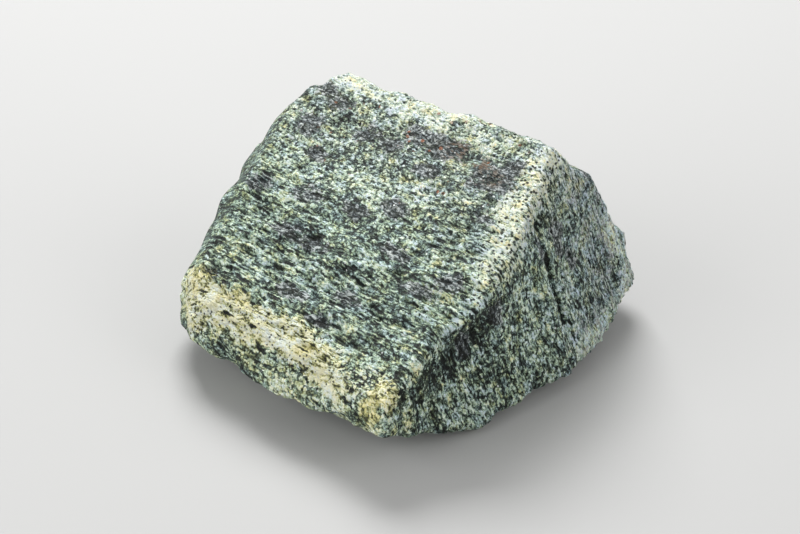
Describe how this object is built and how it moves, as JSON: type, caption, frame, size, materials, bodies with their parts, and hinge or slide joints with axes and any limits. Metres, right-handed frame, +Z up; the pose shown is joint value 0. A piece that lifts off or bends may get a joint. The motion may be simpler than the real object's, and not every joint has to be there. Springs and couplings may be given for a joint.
{
  "type": "serpentine rock",
  "caption": "Broken chunk of green serpentinite with a flat sloping top, a sharp ridge, steep broken sides and a small flat foot; a raw mineral specimen for display.",
  "frame": {"origin": "on the ground, under the middle of the chunk's bounding box", "axes": "+X along the longest side, towards the sharp right tip; +Y towards the back; +Z up, along the shortest side"},
  "size_m": [0.0614, 0.0562, 0.0313],
  "materials": {
    "serpentinite": "rough broken stone, grey-green with dark and cream grains, matt"
  },
  "bodies": {
    "root": {"serpentine_rock": "serpentinite"}
  },
  "joints": []
}
